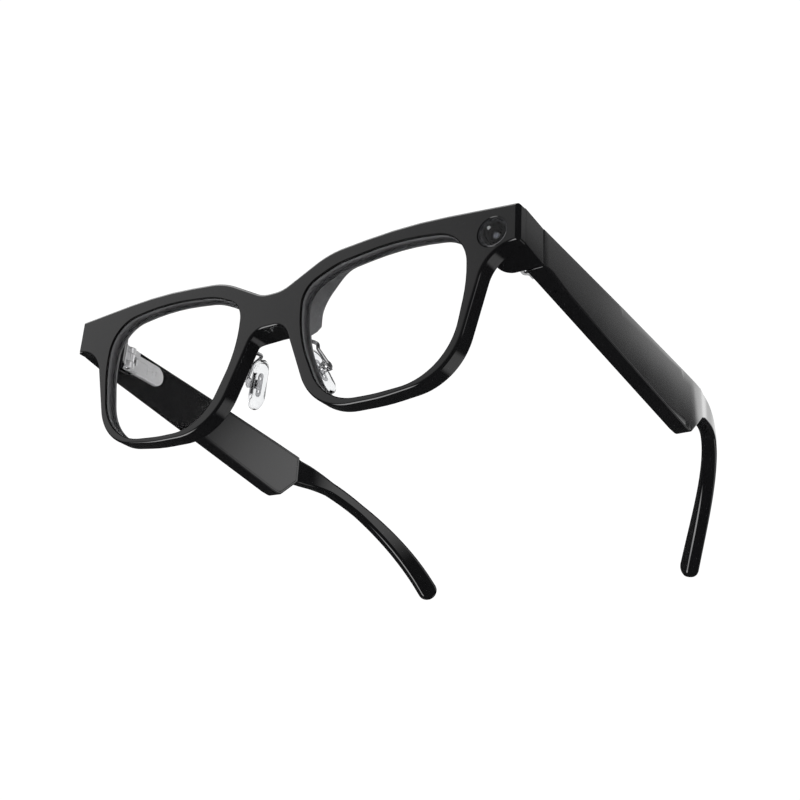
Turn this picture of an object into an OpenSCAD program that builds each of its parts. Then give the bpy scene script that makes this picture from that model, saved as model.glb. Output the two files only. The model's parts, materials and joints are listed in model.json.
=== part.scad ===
// Smart glasses: an assembly of shells, lenses, hinges, pads and electronics.
// Millimetres. +X is the wearer's left, +Y points back along the temples, +Z is up.
// Each part is drawn with the front face on y = 0 and the rims on z = 0. The assembly then leans
// a little, so that the rims and the two ear tips stand on z = 0.

/* [Front] */
// Overall front width across the two end pieces
front_w = 151; // [147:0.5:155]
// Front face to the joint between the two front shells
front_shell_t = 3.4; // [3.2:0.1:3.8]
// Front face to the rear face of the rims
rim_depth = 5.2; // [4.9:0.1:6]
// Front face to the rear face of the bridge housing
bridge_depth = 10.2; // [9.8:0.1:10.8]
// Chamfer between the front face and the side of each end piece
end_chamfer = 1.1; // [0.4:0.1:1.2]

/* [Lenses] */
// How far each lens edge goes into its groove
lens_lip = 1; // [0.7:0.1:1.2]
// Lens thickness
lens_t = 2; // [1.6:0.1:2]
// Display waveguide thickness
guide_t = 0.9; // [0.7:0.1:1.1]

/* [Temples] */
// Temple thickness at the housing
temple_t = 5.1; // [4.8:0.1:5.6]
// Outward splay of each temple in degrees
splay = 3.1; // [2:0.1:3.8]
// Housing length from the seam to the ear tip
housing_l = 102.2; // [99:0.1:106]
// Radius of the downward bend of the ear tip
tip_bend_r = 62; // [58:1:63]
// Radius of the inward bend of the ear tip
tip_hook_r = 94.5; // [90:0.5:100]
// Half height of the rounded end of the ear tip
tip_end_r = 3.6; // [3.3:0.1:4]

/* [Hinges] */
// Hinge pin radius
pin_r = 0.7; // [0.6:0.05:0.8]
// Radial running clearance of pins in their bores
run_gap = 0.05; // [0.02:0.01:0.08]
// Outer radius of the hinge barrel
barrel_r = 1.6; // [1.5:0.05:1.7]

/* [Nose pads] */
// Height of each nose pad
pad_h = 14.4; // [13:0.2:15.4]
// Width of each nose pad
pad_w = 8.2; // [7.2:0.2:9]
// Nose arm wire radius
wire_r = 0.55; // [0.45:0.05:0.65]

/* [Camera] */
// Radius of the ring round the camera window
ring_r = 4.15; // [3.9:0.05:4.3]
// Radius of the camera window
window_r = 3.6; // [3.4:0.05:3.7]

/* [Hidden] */

$fn = 48;
eps = 0.02;         // overshoot of cutters past a face
gap = 0.05;         // clearance between parts of one body
seam_gap = 0.12;    // visible joint between each end piece and its temple
arc_step = 7.5;     // degrees per segment of an arc
far = 60;           // reach of cutters that only bound one side

black = [0.05, 0.05, 0.055];
dark = [0.12, 0.12, 0.13];
silver = [0.78, 0.78, 0.8];
clear = [0.85, 0.9, 0.92, 0.35];
board_green = [0.05, 0.3, 0.15];

// ---- outline helpers ----
function unit(v) = v / norm(v);
function turn(a, b, c) = cross(b - a, c - b);

// points of a corner at b rounded to radius r
function corner(a, b, c, r) =
    let (u = unit(a - b), v = unit(c - b))
    let (half = acos(max(-1, min(1, u * v))) / 2)
    (r <= 0 || half > 89.5) ? [b] :
    let (centre = b + unit(u + v) * r / sin(half))
    let (p = b + u * r / tan(half) - centre)
    let (sweep = sign(turn(a, b, c)) * (180 - 2 * half))
    let (n = max(1, ceil(abs(sweep) / arc_step)))
    [for (i = [0:n])
        centre + r * [cos(atan2(p.y, p.x) + sweep * i / n),
                      sin(atan2(p.y, p.x) + sweep * i / n)]];

function xy(p) = [p.x, p.y];
function before(list, i) = xy(list[(i + len(list) - 1) % len(list)]);
function after(list, i) = xy(list[(i + 1) % len(list)]);

// outline from corners given as [x, y, radius]
function rounded(list) =
    [for (i = [0:len(list) - 1])
        each corner(before(list, i), xy(list[i]), after(list, i), list[i].z)];

// the same corners moved outward by d, for outlines that run anticlockwise
function grown(list, d) =
    [for (i = [0:len(list) - 1])
        let (a = before(list, i), b = xy(list[i]), c = after(list, i))
        let (u = unit(b - a), v = unit(c - b))
        let (n1 = [u.y, -u.x], n2 = [v.y, -v.x])
        let (m = (n1 + n2) / (1 + n1 * n2) * d)
        [b.x + m.x, b.y + m.y,
         list[i].z <= 0 ? 0 : max(0.05, list[i].z + sign(turn(a, b, c)) * d)]];

function mirrored(list) =
    [for (i = [len(list) - 1:-1:0]) [-list[i].x, list[i].y, list[i].z]];

// ---- solids from outlines ----
// outline in X and Z, from y0 to y1
module slab_y(y0, y1) {
    translate([0, y1, 0]) rotate([90, 0, 0]) linear_extrude(height = y1 - y0) children();
}
// outline in Y and Z, from x0 to x1
module slab_x(x0, x1) {
    translate([x0, 0, 0]) rotate([90, 0, 90]) linear_extrude(height = x1 - x0) children();
}
module box(low, high) {
    translate(low) cube(high - low);
}
// cylinder along Y
module rod_y(x, z, y0, y1, r) {
    translate([x, y1, z]) rotate([90, 0, 0]) cylinder(h = y1 - y0, r = r);
}
// round wire from p to q with a slightly larger ball at q
module wire(p, q, r) {
    d = q - p;
    translate(p)
        rotate([0, acos(d.z / norm(d)), atan2(d.y, d.x)])
            cylinder(h = norm(d), r = r, $fn = 24);
    translate(q) sphere(r = r + eps, $fn = 24);
}
// side = 1 keeps the wearer's left, side = -1 mirrors to the right
module sided(side) {
    if (side > 0) children();
    else mirror([1, 0, 0]) children();
}

// ---- front outline ----
half_w = front_w / 2;
top_end_z = 45.3;      // top corner of each end piece
end_bottom_z = 34.95;  // lower edge of each end piece
// right half of the outline, from the bridge bottom round to the bridge top
half_outline = [
    [5.25, 27.85, 5.4],
    [16.95, 0, 17.9],
    [38, 0, 60],
    [57.8, 2.6, 17.2],
    [66.95, end_bottom_z, 10.1],
    [half_w, end_bottom_z, 0.6],
    [half_w, top_end_z, 0.8],
    [42.85, 48.1, 142],
    [18.4, 45.9, 24.7],
    [3.4, 38.2, 10]];
front_outline = concat(half_outline, mirrored(half_outline));

// lens opening on the wearer's left
opening = [
    [56.7, 3.25, 17.7],
    [61.4, 27.05, 41],
    [60.65, 41.05, 10.5],
    [40.95, 44.25, 74],
    [21.05, 41.75, 25.2],
    [10.8, 37.15, 7.5],
    [10.5, 23.6, 36.9],
    [20.55, 1.95, 15.9],
    [36.05, 1.7, 60]];

module opening_shape(d) {
    polygon(rounded(grown(opening, d)));
}
module openings(d) {
    opening_shape(d);
    mirror([1, 0]) opening_shape(d);
}
module front_shape() {
    difference() {
        polygon(rounded(front_outline));
        openings(0);
    }
}

// ---- end pieces ----
side_slope = tan(splay);
seam_y = 12.2;         // rear face of each end piece
block_in_x = 64.4;     // inner side of the block behind each end piece
block_in_r = 4;        // roundness of its inner rear corner
seam_bottom_z = 33.35;
seam_top_z = 44.2;
block_plan = [
    [block_in_x, front_shell_t, 0],
    [half_w, front_shell_t, 0],
    [half_w + (seam_y - front_shell_t) * side_slope, seam_y, 0],
    [block_in_x + 0.6, seam_y, block_in_r]];
block_side = [
    [front_shell_t, end_bottom_z, 0],
    [seam_y, seam_bottom_z, 0],
    [seam_y, seam_top_z, 0],
    [front_shell_t, top_end_z - 0.15, 0]];

module end_block() {
    intersection() {
        translate([0, 0, seam_bottom_z - 1])
            linear_extrude(height = 14) polygon(rounded(block_plan));
        slab_x(block_in_x - 1, half_w + 2) polygon([for (p = block_side) xy(p)]);
    }
}

// ---- camera ----
cam_x = 68.2;
cam_z = 38.8;
window_y = 0.15;       // window set back from the front face
window_t = 0.6;
ring_t = 1.1;
barrel_cam_r = 2.2;
barrel_y1 = 5.4;
board_y0 = 5.45;
board_t = 0.6;
cam_board_x0 = 65.6;
cam_board_x1 = 71.6;
cam_board_z0 = 35.7;
cam_board_z1 = 42.7;
led_r = 0.45;
led_off = [-1.7, 2.15];  // light beside the barrel, inside the window

module camera_cut() {
    rod_y(cam_x, cam_z, -eps, ring_t + gap, ring_r + gap);
    rod_y(cam_x, cam_z, ring_t, front_shell_t + eps, window_r - 0.2);
}
module camera_pocket() {
    box([cam_board_x0 - 0.1, front_shell_t - eps, cam_board_z0 - 0.1],
        [cam_board_x1 + 0.1, board_y0 + board_t + 0.1, cam_board_z1 + 0.1]);
}

module camera_ring() {
    color(dark) difference() {
        rod_y(cam_x, cam_z, 0, ring_t, ring_r);
        rod_y(cam_x, cam_z, -eps, window_y + window_t + gap, window_r + gap);
        rod_y(cam_x, cam_z, 0, ring_t + eps, window_r - 0.35);
    }
}
module camera_window() {
    color(clear) rod_y(cam_x, cam_z, window_y, window_y + window_t, window_r);
}
module camera_barrel() {
    color(black) difference() {
        rod_y(cam_x, cam_z, window_y + window_t + 0.25, barrel_y1, barrel_cam_r);
        rod_y(cam_x, cam_z, 0, window_y + window_t + 0.9, barrel_cam_r * 0.5);
    }
}
module camera_board() {
    color(board_green)
        box([cam_board_x0, board_y0, cam_board_z0],
            [cam_board_x1, board_y0 + board_t, cam_board_z1]);
}
module recording_led() {
    color(silver)
        rod_y(cam_x + led_off.x, cam_z + led_off.y, window_y + window_t + 0.4,
              board_y0 - 0.05, led_r);
}

// ---- bridge housing and what it holds ----
bridge_flat_x = 10.4;   // half width of the housing's rear face
bridge_foot_x = 25;     // where its slope meets the rims
bridge_low_z = 28.3;
bridge_wall = 1;
engine_half_w = 7.6;
engine_z0 = 30.2;
engine_z1 = 37.2;

module bridge_block() {
    intersection() {
        slab_y(front_shell_t, bridge_depth) front_shape();
        translate([0, 0, bridge_low_z]) linear_extrude(height = 20)
            polygon(rounded([
                [-bridge_foot_x, front_shell_t, 0],
                [bridge_foot_x, front_shell_t, 0],
                [bridge_foot_x, rim_depth, 0],
                [bridge_flat_x, bridge_depth, 6],
                [-bridge_flat_x, bridge_depth, 6],
                [-bridge_foot_x, rim_depth, 0]]));
    }
}
// box of the light engine from y0 back, with d of clearance
module engine_space(y0, d) {
    box([-engine_half_w - d, y0, engine_z0 - d],
        [engine_half_w + d, bridge_depth - bridge_wall - 0.1 + d, engine_z1 + d]);
}
module light_engine() {
    color(dark) difference() {
        engine_space(front_shell_t + flex_t + 3 * gap, 0);
        // relay lens ports towards both waveguides
        for (s = [-1, 1])
            translate([s * engine_half_w, front_shell_t + 1.9, 34])
                rotate([0, 90, 0]) cylinder(h = 1.6, r = 1, center = true);
    }
}

flex_t = 0.2;
flex_edge = 1.1;        // kept back from the outline
flex_reach = 63.5;      // half length, ending beside the camera board
flex_low_z = 34.5;
module flex_shape(d) {
    intersection() {
        difference() {
            polygon(rounded(grown(front_outline, d - flex_edge)));
            openings(lens_lip + flex_edge / 2 - d);
        }
        translate([-flex_reach - d, flex_low_z - d])
            square([2 * (flex_reach + d), far]);
    }
}
module front_flex() {
    color([0.75, 0.45, 0.1])
        slab_y(front_shell_t + gap, front_shell_t + gap + flex_t) flex_shape(0);
}

// ---- front shells ----
module chamfer_cut() {
    linear_extrude(height = far)
        polygon([[half_w - end_chamfer, -eps], [half_w + 1, -eps],
                 [half_w + 1, end_chamfer], [half_w, end_chamfer]]);
}
module front_shell() {
    color(black) difference() {
        slab_y(0, front_shell_t) front_shape();
        slab_y(front_shell_t - lens_t - gap, front_shell_t + eps)
            openings(lens_lip + gap);
        camera_cut();
        for (s = [-1, 1]) sided(s) chamfer_cut();
    }
}
module hinge_pocket(d) {
    box([leaf_x0 - d, leaf_y0 - d, leaf_z0 - d], [leaf_x1 + d, seam_y + eps, leaf_z1 + d]);
}
module rear_shell() {
    color(black) difference() {
        union() {
            slab_y(front_shell_t + eps, rim_depth) front_shape();
            translate([0, eps, 0]) bridge_block();
            for (s = [-1, 1]) sided(s) translate([0, eps, 0]) end_block();
        }
        slab_y(front_shell_t - eps, front_shell_t + guide_t + gap) openings(lens_lip + gap);
        slab_y(front_shell_t - eps, front_shell_t + flex_t + 2 * gap) flex_shape(gap);
        engine_space(front_shell_t - eps, gap);
        camera_pocket();
        for (s = [-1, 1]) sided(s) {
            hinge_pocket(gap);
            wire(arm_path[0], arm_path[1], wire_r + gap);
        }
    }
}

// ---- lenses ----
module lens(side) {
    color(clear) sided(side)
        slab_y(front_shell_t - lens_t, front_shell_t) opening_shape(lens_lip);
}
module lens_left() { lens(1); }
module lens_right() { lens(-1); }
module waveguide(side) {
    color(clear) sided(side)
        slab_y(front_shell_t + gap, front_shell_t + guide_t) opening_shape(lens_lip);
}
module waveguide_left() { waveguide(1); }
module waveguide_right() { waveguide(-1); }

// ---- nose arms and pads ----
pad_pos = [10.7, 10.9, 16.9];
pad_tilt = [23, -19, -10];
pad_t = 1.6;
pad_axis_x = 1.9;      // rocking axis behind the pad's middle plane
screw_r = 0.4;
boss_y = 0.75;          // half thickness of the boss
boss_z = 1.2;           // half height of the boss
boss_x1 = 2.6;
core_plate_w = 2.2;
core_plate_l = 6.8;
core_plate_t = 0.5;
ear_y0 = 0.82;
ear_y1 = 1.45;
web_x0 = 3;
web_x1 = 3.6;
arm_path = [[8.7, 4.5, 24.2], [9.6, 10.3, 25.2], [11.3, 8.4, 22.3], [14.2, 9.6, 17.9]];

module pad_frame(side) {
    sided(side) translate(pad_pos) rotate(pad_tilt) children();
}
module nose_arm(side) {
    color(silver) sided(side) {
        for (i = [0:len(arm_path) - 2]) wire(arm_path[i], arm_path[i + 1], wire_r);
    }
}
module nose_arm_left() { nose_arm(1); }
module nose_arm_right() { nose_arm(-1); }

module pad_box(side) {
    color(silver) difference() {
        pad_frame(side) difference() {
            box([1.35, -ear_y1, -1.4], [web_x1, ear_y1, 1.4]);
            box([0, -ear_y0, -2], [web_x0, ear_y0, 2]);
            translate([pad_axis_x, 0, 0]) rotate([90, 0, 0])
                cylinder(h = 2 * far, r = screw_r + eps, center = true);
        }
        sided(side) wire(arm_path[2], arm_path[3], wire_r + eps);
    }
}
module pad_box_left() { pad_box(1); }
module pad_box_right() { pad_box(-1); }

module pad_screw(side) {
    color(silver) pad_frame(side) translate([pad_axis_x, 0, 0]) rotate([90, 0, 0]) {
        cylinder(h = 2 * ear_y1 + 0.1, r = screw_r, center = true);
        translate([0, 0, ear_y1 + 0.03]) cylinder(h = 0.35, r = 0.75);
    }
}
module pad_screw_left() { pad_screw(1); }
module pad_screw_right() { pad_screw(-1); }

// metal insert: a small plate moulded into the pad, and the boss on the screw
module core_shape(d) {
    r = core_plate_w / 2 + d;
    polygon(rounded([
        [-r, -core_plate_l / 2 - d, r - eps], [r, -core_plate_l / 2 - d, r - eps],
        [r, core_plate_l / 2 + d, r - eps], [-r, core_plate_l / 2 + d, r - eps]]));
}
module core_solid(d) {
    slab_x(-core_plate_t / 2 - d, core_plate_t / 2 + d) core_shape(d);
    box([0, -boss_y - d, -boss_z - d], [boss_x1, boss_y + d, boss_z + d]);
}
module pad_core(side) {
    color(silver) pad_frame(side) difference() {
        core_solid(0);
        translate([pad_axis_x, 0, 0]) rotate([90, 0, 0])
            cylinder(h = far, r = screw_r + run_gap, center = true);
    }
}
module pad_core_left() { pad_core(1); }
module pad_core_right() { pad_core(-1); }

module nose_pad(side) {
    hw = pad_w / 2;
    hh = pad_h / 2;
    color(clear) pad_frame(side) difference() {
        slab_x(-pad_t / 2, pad_t / 2)
            polygon(rounded([
                [-hw, -hh, hw * 0.96], [hw, -hh, hw * 0.96],
                [hw * 0.86, hh, hw * 0.8], [-hw * 0.86, hh, hw * 0.8]]));
        core_solid(gap);
    }
}
module nose_pad_left() { nose_pad(1); }
module nose_pad_right() { nose_pad(-1); }

// ---- hinges ----
hinge_x = 69.5;
hinge_y = 16;
leaf_x0 = 67.8;
leaf_x1 = 70.8;
leaf_y0 = 7;
leaf_z0 = 35.2;
leaf_z1 = 42.2;
flange_l = 1.3;         // plate behind each end piece that carries the middle knuckle
flange_w = 1;
mid_z0 = 37.4;         // middle knuckle, fixed to the front
mid_z1 = 40;
knuckle_gap = 0.08;

module hinge_front(side) {
    color(silver) sided(side) difference() {
        union() {
            box([leaf_x0, leaf_y0, leaf_z0], [leaf_x1, seam_y - 0.3, leaf_z1]);
            box([leaf_x0, seam_y - 0.4, leaf_z0], [hinge_x + flange_w, seam_y + flange_l, leaf_z1]);
            box([hinge_x - 1.3, seam_y - 0.4, mid_z0], [hinge_x + 1.3, hinge_y, mid_z1]);
            translate([hinge_x, hinge_y, mid_z0])
                cylinder(h = mid_z1 - mid_z0, r = barrel_r);
        }
        translate([hinge_x, hinge_y, mid_z0 - 1])
            cylinder(h = mid_z1 - mid_z0 + 2, r = pin_r + eps);
    }
}
module hinge_front_left() { hinge_front(1); }
module hinge_front_right() { hinge_front(-1); }

module hinge_pin(side) {
    color(silver) sided(side) translate([hinge_x, hinge_y, leaf_z0 - 0.1])
        cylinder(h = leaf_z1 - leaf_z0 + 0.2, r = pin_r);
}
module hinge_pin_left() { hinge_pin(1); }
module hinge_pin_right() { hinge_pin(-1); }

// ---- temples, in a frame whose outer face is x = 0 ----
y0 = seam_y + seam_gap;
y1 = seam_y + housing_l;
wall = 1;
step_y = y1 - 10.6;
tip_root_h = 5.15;
tip_mid_z = 34.5;
step_z = 21.45;        // lower edge where the housing is deepest
top_mid_y = y0 + 46;   // bends of the upper edge
top_mid_z = 42.45;
top_rear_y = y1 - 15;
top_rear_z = 40.5;
housing = [
    [y0, seam_bottom_z, 0.3],
    [step_y - 4.2, step_z, 4],
    [step_y + 0.6, step_z - 0.2, 4],
    [y1, tip_mid_z - tip_root_h, 0],
    [y1, tip_mid_z + tip_root_h, 0],
    [top_rear_y, top_rear_z, 70],
    [top_mid_y, top_mid_z, 150],
    [y0, seam_top_z, 0.3]];

module in_temple(side) {
    sided(side) translate([half_w - 0.05, 0, 0]) rotate([0, 0, -splay]) children();
}
module housing_shape(d) {
    polygon(rounded(grown(housing, d)));
}

// hinge leaf plate on the inner face
plate_y0 = 19.6;
plate_y1 = 33;
plate_z0 = 35.3;
plate_z1 = 42;
plate_in = 1.1;        // how far it stands proud of the inner face
plate_deep = 0.95;     // how far it is let into the cover
leaf_in = -temple_t - plate_in;

module plate_shape(d) {
    r = (plate_z1 - plate_z0) / 2;
    polygon(rounded([
        [plate_y0 - d, plate_z0 - d, 0.3],
        [plate_y1 + d, plate_z0 - d, r + d - 0.01],
        [plate_y1 + d, plate_z1 + d, r + d - 0.01],
        [plate_y0 - d, plate_z1 + d, 0.3]]));
}

module hinge_leaf(side) {
    color(silver) {
        in_temple(side) slab_x(leaf_in, -temple_t + plate_deep - gap) plate_shape(0);
        sided(side) difference() {
            for (z = [[leaf_z0, mid_z0 - knuckle_gap], [mid_z1 + knuckle_gap, leaf_z1]])
                translate([0, 0, z[0]]) {
                    translate([hinge_x, hinge_y, 0])
                        cylinder(h = z[1] - z[0], r = barrel_r);
                    translate([hinge_x - 0.4, hinge_y, 0])
                        cube([1.8, plate_y0 + 0.5 - hinge_y, z[1] - z[0]]);
                }
            translate([hinge_x, hinge_y, leaf_z0 - 1])
                cylinder(h = leaf_z1 - leaf_z0 + 2, r = pin_r + run_gap);
        }
    }
}
module hinge_leaf_left() { hinge_leaf(1); }
module hinge_leaf_right() { hinge_leaf(-1); }

// room in the cover and shell for the barrel
module barrel_cut(side) {
    sided(side) translate([hinge_x, hinge_y, leaf_z0 - 0.4])
        cylinder(h = leaf_z1 - leaf_z0 + 0.8, r = barrel_r + 0.3);
    sided(side)
        box([hinge_x - 2, hinge_y - 2.7, leaf_z0 - 0.4],
            [hinge_x + 2.1, plate_y0 + 0.8, leaf_z1 + 0.4]);
}

// ---- temple contents, all in the temple frame ----
cavity_x0 = -temple_t + wall;
cavity_x1 = -wall;
ledge = 0.8;

mic_y = 22.8;
mic_z = 34.05;
mic_h = 1;
mic_hole_r = 0.4;
spk_y0 = 89;
spk_y1 = 101;
spk_z0 = 26.8;
spk_z1 = 38.2;
bat_y0 = 60;
bat_y1 = 88;
bat_z0 = 29;
bat_z1 = 39;
pcb_y0 = 36;
pcb_y1 = 59;
pcb_z0 = 32.1;
pcb_z1 = 39.6;
chip_z = 35.8;
pcb_x1 = -1.5;
pcb_t = 0.8;
grille_y0 = 90;
grille_l = 9;
grille_w = 1.6;
grille_t = 0.5;
button_y = 48;
button_l = 9;
button_w = 2.2;
button_travel = 0.4;
button_proud = 0.5;
contact_y = 76;
contact_pitch = 3;
contact_z = 34;
contact_r = 0.9;
contact_l = 1.1;

top_slope = atan((top_mid_z - seam_top_z) / (top_mid_y - y0));
button_z = seam_top_z + (button_y - y0) * tan(top_slope);
grille_slope = atan((top_rear_z - top_mid_z) / (top_rear_y - top_mid_y));
grille_z = top_mid_z + (grille_y0 + grille_l / 2 - top_mid_y) * tan(grille_slope);

module at_button() {
    translate([-temple_t / 2, button_y, button_z]) rotate([top_slope, 0, 0]) children();
}
module at_grille() {
    translate([-temple_t / 2, grille_y0 + grille_l / 2, grille_z])
        rotate([grille_slope, 0, 0]) children();
}
module stadium(l, w) {
    polygon(rounded([
        [-w / 2, -l / 2, w / 2 - 0.01], [w / 2, -l / 2, w / 2 - 0.01],
        [w / 2, l / 2, w / 2 - 0.01], [-w / 2, l / 2, w / 2 - 0.01]]));
}

// what the outer face loses where it curves inward
module rear_curve() {
    difference() {
        box([-2, hook_y, 0], [1, y1 + 1, far]);
        translate([hook_x + eps, hook_y, 0]) cylinder(h = far, r = hook_out_r, $fn = 180);
    }
}
module temple_shell(side) {
    color(black) difference() {
        in_temple(side) difference() {
            slab_x(-temple_t, 0) housing_shape(0);
            rear_curve();
            slab_x(-temple_t - eps, cavity_x0) housing_shape(-wall);
            slab_x(cavity_x0 - eps, cavity_x1) intersection() {
                housing_shape(-wall - ledge);
                translate([0, 0]) square([y1 - 4.5, far]);
            }
            // port of the microphone
            translate([-temple_t / 2, mic_y, 25]) cylinder(h = 10, r = mic_hole_r, $fn = 24);
            // seat and port of the speaker grille
            at_grille() translate([0, 0, -grille_t - gap])
                linear_extrude(height = 3) stadium(grille_l + 0.1, grille_w + 0.1);
            at_grille() translate([0, 0, -6])
                linear_extrude(height = 6) stadium(grille_l - 1.4, grille_w - 0.7);
            if (side < 0) at_button() translate([0, 0, -4])
                linear_extrude(height = 8) stadium(button_l + 0.2, button_w + 0.2);
        }
        barrel_cut(side);
        core_space(side, gap);
    }
}
module temple_shell_left() { temple_shell(1); }
module temple_shell_right() { temple_shell(-1); }

module inner_cover(side) {
    color(black) difference() {
        in_temple(side) difference() {
            slab_x(-temple_t, cavity_x0 - gap) housing_shape(-wall - gap);
            slab_x(-temple_t - eps, -temple_t + plate_deep) plate_shape(gap);
            if (side > 0) for (i = [-1, 1])
                translate([0, contact_y + i * contact_pitch / 2, contact_z])
                    rotate([0, -90, 0])
                    cylinder(h = far, r = contact_r + gap);
        }
        barrel_cut(side);
    }
}
module inner_cover_left() { inner_cover(1); }
module inner_cover_right() { inner_cover(-1); }

module battery(side) {
    color([0.25, 0.3, 0.35]) in_temple(side)
        box([cavity_x0 + 0.2, bat_y0, bat_z0], [cavity_x1 - 0.1, bat_y1, bat_z1]);
}
module battery_left() { battery(1); }
module battery_right() { battery(-1); }

module speaker(side) {
    color(dark) in_temple(side) difference() {
        box([cavity_x0 + 0.2, spk_y0, spk_z0], [cavity_x1 - 0.1, spk_y1, spk_z1]);
        translate([0, (spk_y0 + spk_y1) / 2, (spk_z0 + spk_z1) / 2]) rotate([0, 90, 0])
            translate([0, 0, cavity_x0]) difference() {
                cylinder(h = 0.6, r = 4.6);
                translate([0, 0, -1]) cylinder(h = 3, r = 2);
            }
    }
}
module speaker_left() { speaker(1); }
module speaker_right() { speaker(-1); }

module speaker_grille(side) {
    slots = 7;
    color(dark) in_temple(side) at_grille() translate([0, 0, -grille_t])
        difference() {
            linear_extrude(height = grille_t - 0.05) stadium(grille_l, grille_w);
            for (i = [0:slots - 1])
                translate([0, (i - (slots - 1) / 2) * 1.1, 0])
                    cube([grille_w - 0.8, 0.4, far], center = true);
        }
}
module speaker_grille_left() { speaker_grille(1); }
module speaker_grille_right() { speaker_grille(-1); }

module microphone(side) {
    color(silver) in_temple(side) difference() {
        box([-temple_t / 2 - 1.2, mic_y - 1.5, mic_z], [-temple_t / 2 + 1.2, mic_y + 1.5, mic_z + mic_h]);
        translate([-temple_t / 2, mic_y, mic_z - 1]) cylinder(h = 1.4, r = mic_hole_r, $fn = 24);
    }
}
module microphone_left() { microphone(1); }
module microphone_right() { microphone(-1); }

module board(chips) {
    box([pcb_x1 - pcb_t, pcb_y0, pcb_z0], [pcb_x1, pcb_y1, pcb_z1]);
    for (c = chips)
        box([pcb_x1 - pcb_t - c.z, pcb_y0 + c.x, chip_z - c.y / 2],
            [pcb_x1 - pcb_t + eps, pcb_y0 + c.x + c.y, chip_z + c.y / 2]);
}
module sensor_board() {
    color(board_green) in_temple(1) board([[3, 4, 0.8], [11, 5, 0.6]]);
}
module main_board() {
    color(board_green) in_temple(-1) board([[1.5, 3.5, 0.8], [6.5, 4, 0.8], [16, 5, 0.9]]);
}
module touch_strip() {
    color([0.75, 0.45, 0.1]) in_temple(-1)
        box([cavity_x1 - 0.35, pcb_y0 + 1, pcb_z0 + 1], [cavity_x1 - 0.05, pcb_y1 - 1, pcb_z1 - 1]);
}
module capture_button() {
    color(dark) in_temple(-1) at_button() {
        translate([0, 0, -1.5]) linear_extrude(height = 1.5 + button_proud)
            stadium(button_l, button_w);
    }
}
module button_switch() {
    color(silver) in_temple(-1) at_button()
        box([-1, -2, -2.9], [1, 2, -1.5 - button_travel - 0.1]);
}
module charging_contacts() {
    color([0.85, 0.65, 0.25]) in_temple(1) for (i = [-1, 1])
        translate([-temple_t + contact_l, contact_y + i * contact_pitch / 2, contact_z])
            rotate([0, -90, 0]) cylinder(h = contact_l, r = contact_r);
}

// ---- ear tips ----
bend_y = 121.4;        // where the tip starts to bend down
bend_angle = 62;
hook_y = 108;          // where the outer face starts to curve inward
hook_out_r = tip_hook_r + temple_t / 2;
hook_x = -hook_out_r;
tip_root_w = 2.1;      // half thickness of the tip where it leaves the housing
tip_mid_w = 2.45;      // half thickness where the tip is slimmest
tip_mid_a = 19;        // and how far round the hook that is
tip_end_w = 2.5;       // half thickness at the end of the tip
arc_end_y = bend_y + tip_bend_r * sin(bend_angle);
arc_end_z = tip_mid_z - tip_bend_r * (1 - cos(bend_angle));
// the whole object leans by this much, so that it stands on the rims and the ear tips
lean = 1.2;
last_l = (arc_end_y * sin(lean) + arc_end_z * cos(lean) - tip_end_r) / sin(bend_angle - lean);
tip_end = [arc_end_y + last_l * cos(bend_angle), arc_end_z - last_l * sin(bend_angle)];
hook_angle = asin((tip_end.x + 1 - hook_y) / hook_out_r);
tip_last = hook_point(hook_angle, tip_end_w);
front_top_z = 47.55;
// middle of the leaning object along Y, used to centre it
mid_y = ((tip_end_w - tip_last.x * sin(splay) + tip_last.y * cos(splay)) * cos(lean)
    - front_top_z * sin(lean)) / 2;

// half height of the tip along y
function tip_half(y) =
    lookup(y, [[y1, tip_root_h], [y1 + 8, 4.4], [bend_y + 14, 2.6], [150, 2.4],
               [tip_end.x, tip_end_r]]);

// centre points [y, z, angle]
function tip_line(from) = concat(
    [[from, tip_mid_z, 0], [y1 + 3, tip_mid_z, 0], [y1 + 6, tip_mid_z, 0]],
    [for (a = [0:5:bend_angle])
        [bend_y + tip_bend_r * sin(a), tip_mid_z - tip_bend_r * (1 - cos(a)), a]],
    [[tip_end.x, tip_end.y, bend_angle]]);

function tip_side(from, h, cap_r) =
    let (line = tip_line(from), n = len(line) - 1)
    concat(
        [for (p = line) [p.x, p.y] + (h > 0 ? h : tip_half(p.x)) * [sin(p.z), cos(p.z)]],
        [for (a = [5:5:175])
            xy(line[n]) + cap_r * [cos(90 - bend_angle - a), sin(90 - bend_angle - a)]],
        [for (i = [n:-1:0])
            xy(line[i]) - (h > 0 ? h : tip_half(line[i].x))
                * [sin(line[i].z), cos(line[i].z)]]);

// band in plan whose outer side follows the inward hook, and which ends in a half circle
// a is the angle round the hook and w the depth below its outer side
function hook_point(a, w) =
    [hook_x + (hook_out_r - w) * cos(a), hook_y + (hook_out_r - w) * sin(a)];
// inset of the outer side, and half thickness at the root, at the slimmest place and at the end
module hook_band(from, inset, w0, wm, w1) {
    n = 14;
    a0 = asin((from - hook_y) / hook_out_r);
    slices = [for (i = [0:n]) let (a = a0 + (hook_angle - a0) * i / n)
        [a, lookup(a, [[a0, w0], [tip_mid_a, wm], [hook_angle, w1]])]];
    cap = [for (a = [15:15:165])
        hook_point(hook_angle, inset + w1) + w1 * [cos(hook_angle + a), sin(hook_angle + a)]];
    translate([0, 0, -far / 2]) linear_extrude(height = 2 * far)
        polygon(concat(
            [for (s = slices) hook_point(s[0], inset)],
            cap,
            [for (i = [n:-1:0]) hook_point(slices[i][0], inset + 2 * slices[i][1])]));
}

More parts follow.
